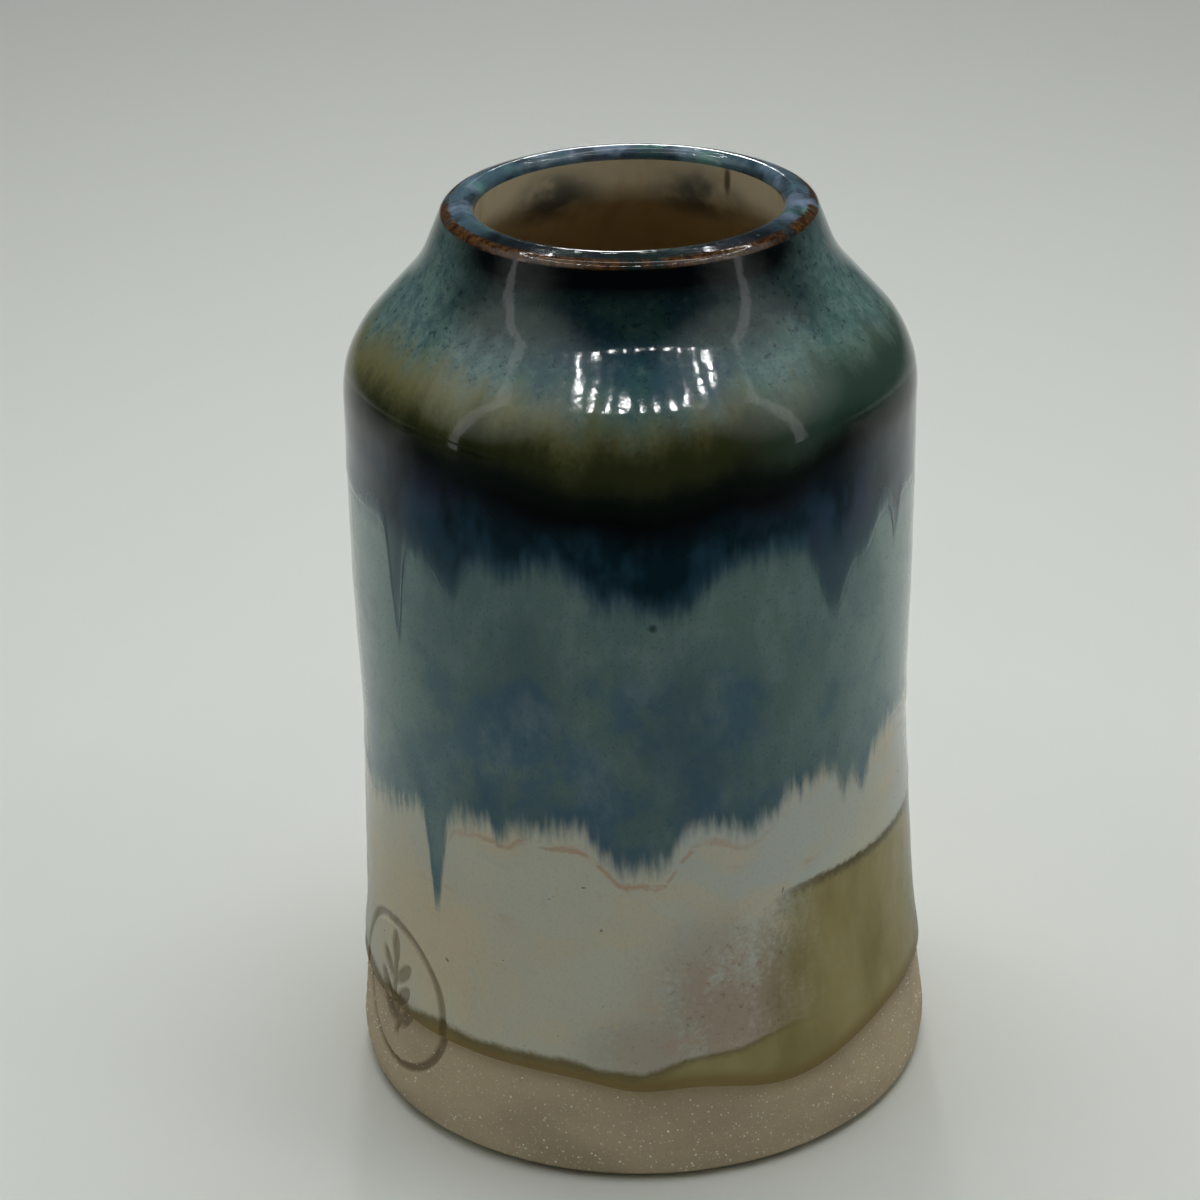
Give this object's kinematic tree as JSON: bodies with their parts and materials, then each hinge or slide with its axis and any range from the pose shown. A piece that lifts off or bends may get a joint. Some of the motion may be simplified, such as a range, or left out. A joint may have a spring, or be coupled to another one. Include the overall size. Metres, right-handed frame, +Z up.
{
  "type": "bud vase",
  "caption": "Small wheel-thrown stoneware bud vase with a flared foot, upright wall, sloping shoulder and narrow rolled mouth, under running banded glazes.",
  "frame": {"origin": "centre of the resting plane under the foot ring", "axes": "+Z up along the axis the pot was thrown on, towards the mouth; -Y is the front, +X to the right seen from the front"},
  "size_m": [0.0674, 0.0674, 0.1051],
  "materials": {
    "stoneware_clay": "unglazed, fired, slightly rough",
    "honey_glaze": "gloss",
    "white_glaze": "gloss",
    "blue_glaze": "gloss",
    "navy_glaze": "gloss",
    "teal_glaze": "gloss",
    "lip_glaze": "gloss",
    "liner_glaze": "gloss"
  },
  "bodies": {
    "root": {"clay_body": "stoneware_clay", "honey_glaze": "honey_glaze", "white_glaze": "white_glaze", "blue_glaze": "blue_glaze", "navy_glaze": "navy_glaze", "teal_glaze": "teal_glaze", "lip_glaze": "lip_glaze", "liner_glaze": "liner_glaze"}
  },
  "joints": []
}
